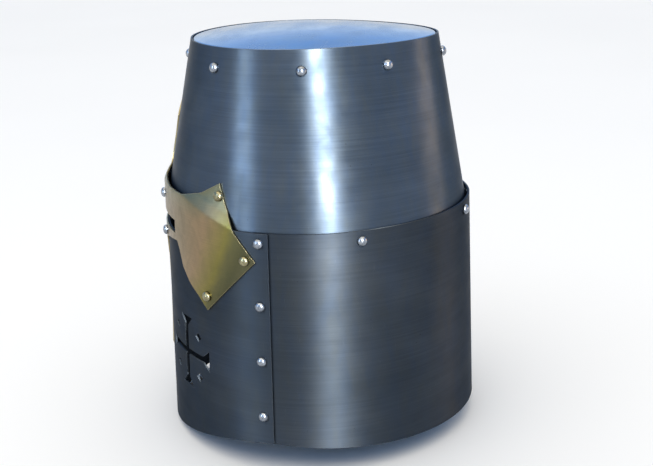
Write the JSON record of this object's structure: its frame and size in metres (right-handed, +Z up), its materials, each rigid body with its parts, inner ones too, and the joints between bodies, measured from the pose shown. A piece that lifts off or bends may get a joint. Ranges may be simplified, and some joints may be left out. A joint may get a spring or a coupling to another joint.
{
  "type": "knight helmet",
  "caption": "Flat-topped great helm of riveted steel plates with a brass cross over the eye slits, cross-shaped breaths, a leather liner and a buckled chin strap.",
  "frame": {"origin": "middle of the head, at the level that the lowest point of the rim rests on", "axes": "+Z up towards the crown, -Y out of the face, +X to the wearer's left"},
  "size_m": [0.2472, 0.2623, 0.327],
  "materials": {
    "blued_steel": "brushed, darkened steel sheet",
    "rivet_steel": "bright steel, worn",
    "brass": "satin brass, slightly tarnished",
    "leather": "vegetable-tanned, matt"
  },
  "bodies": {
    "shell": {"face_plate": "blued_steel", "rear_plate": "blued_steel", "skull_plate": "blued_steel", "crown_plate": "blued_steel", "brass_cross": "brass", "liner_band": "leather", "liner_cap": "leather", "liner_thong": "leather", "left_chape": "leather", "right_chape": "leather", "crown_rivet_1": "rivet_steel", "crown_rivet_2": "rivet_steel", "crown_rivet_3": "rivet_steel", "crown_rivet_4": "rivet_steel", "crown_rivet_5": "rivet_steel", "crown_rivet_6": "rivet_steel", "crown_rivet_7": "rivet_steel", "crown_rivet_8": "rivet_steel", "left_brass_rivet_top": "brass", "left_brass_rivet_point": "brass", "left_brass_rivet_low": "brass", "left_brass_rivet_brow": "rivet_steel", "left_brass_rivet_cheek": "rivet_steel", "left_seam_rivet_1": "rivet_steel", "left_seam_rivet_2": "rivet_steel", "left_seam_rivet_3": "rivet_steel", "left_seam_rivet_4": "rivet_steel", "left_rear_rivet_1": "rivet_steel", "left_rear_rivet_2": "rivet_steel", "right_brass_rivet_top": "brass", "right_brass_rivet_point": "brass", "right_brass_rivet_low": "brass", "right_brass_rivet_brow": "rivet_steel", "right_brass_rivet_cheek": "rivet_steel", "right_seam_rivet_1": "rivet_steel", "right_seam_rivet_2": "rivet_steel", "right_seam_rivet_3": "rivet_steel", "right_seam_rivet_4": "rivet_steel", "right_rear_rivet_1": "rivet_steel", "right_rear_rivet_2": "rivet_steel"},
    "left_strap": {"left_ring": "rivet_steel", "left_strap": "leather"},
    "right_strap": {"right_ring": "rivet_steel", "right_strap": "leather"},
    "buckle": {"buckle_frame": "rivet_steel"},
    "prong": {"buckle_prong": "rivet_steel"}
  },
  "joints": [
    {"name": "left_strap_swing", "type": "hinge", "parent": "shell", "child": "left_strap", "pos_m": [0.10415, -0.03025, 0.166], "axis": [0.2304, 0.9731, 0], "range_deg": [0, 45]},
    {"name": "right_strap_swing", "type": "hinge", "parent": "shell", "child": "right_strap", "pos_m": [-0.10415, -0.03025, 0.166], "axis": [0.2304, -0.9731, 0], "range_deg": [0, 45]},
    {"name": "buckle_swing", "type": "hinge", "parent": "left_strap", "child": "buckle", "pos_m": [0.10415, -0.03025, 0.066], "axis": [0.2304, 0.9731, 0], "range_deg": [-8, 60]},
    {"name": "prong_lift", "type": "hinge", "parent": "buckle", "child": "prong", "pos_m": [0.10415, -0.03025, 0.066], "axis": [0.2304, 0.9731, 0], "range_deg": [0, 45]}
  ]
}
